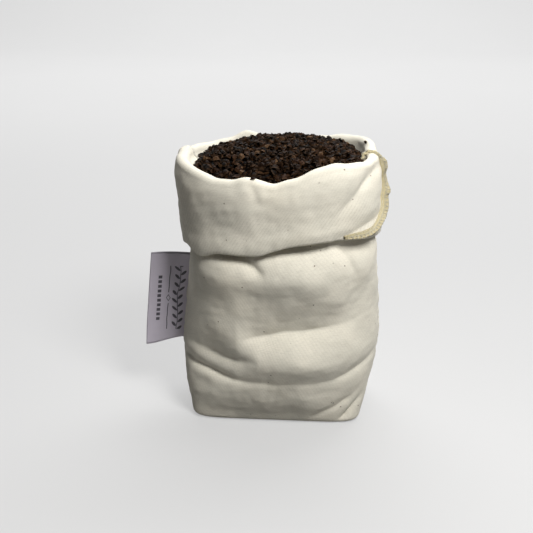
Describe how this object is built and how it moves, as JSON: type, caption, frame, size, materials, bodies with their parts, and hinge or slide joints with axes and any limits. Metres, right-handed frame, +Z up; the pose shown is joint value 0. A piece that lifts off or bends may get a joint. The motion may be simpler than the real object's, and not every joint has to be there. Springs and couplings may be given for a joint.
{
  "type": "filled cloth bag",
  "caption": "Small open bag of natural twill with a squared base and a turned-down cuff, filled to the brim with loose buckwheat hulls, with a folded side label.",
  "frame": {"origin": "middle of the squared base, on the surface that the bag stands on", "axes": "+Z up out of the mouth, the front faces -Y, and the label stands out of the left side seam towards -X"},
  "size_m": [0.137, 0.079, 0.1493],
  "materials": {
    "twill": "matte",
    "serged_twill": "matte",
    "thread": "matte",
    "label_satin": "satin",
    "hulls": "satin"
  },
  "bodies": {
    "bag": {"front_panel": "twill", "back_panel": "twill", "left_seam_allowance": "serged_twill", "right_seam_allowance": "serged_twill", "base_seam_allowance": "serged_twill", "left_corner_allowance": "serged_twill", "right_corner_allowance": "serged_twill", "left_side_stitches": "thread", "right_side_stitches": "thread", "base_seam_stitches": "thread", "left_corner_stitches": "thread", "right_corner_stitches": "thread", "left_overlock_thread": "thread", "right_overlock_thread": "thread", "mouth_overlock_thread": "thread", "label_sewn_edge": "label_satin", "hull_filling": "hulls", "top_hulls": "hulls", "stray_hulls": "hulls"},
    "label": {"side_label": "label_satin"}
  },
  "joints": [
    {"name": "label_flap", "type": "hinge", "parent": "bag", "child": "label", "pos_m": [-0.055, 0, 0.064], "axis": [0, 0, 1], "range_deg": [-75, 75], "stiffness_Nm_per_rad": 0.0004}
  ]
}
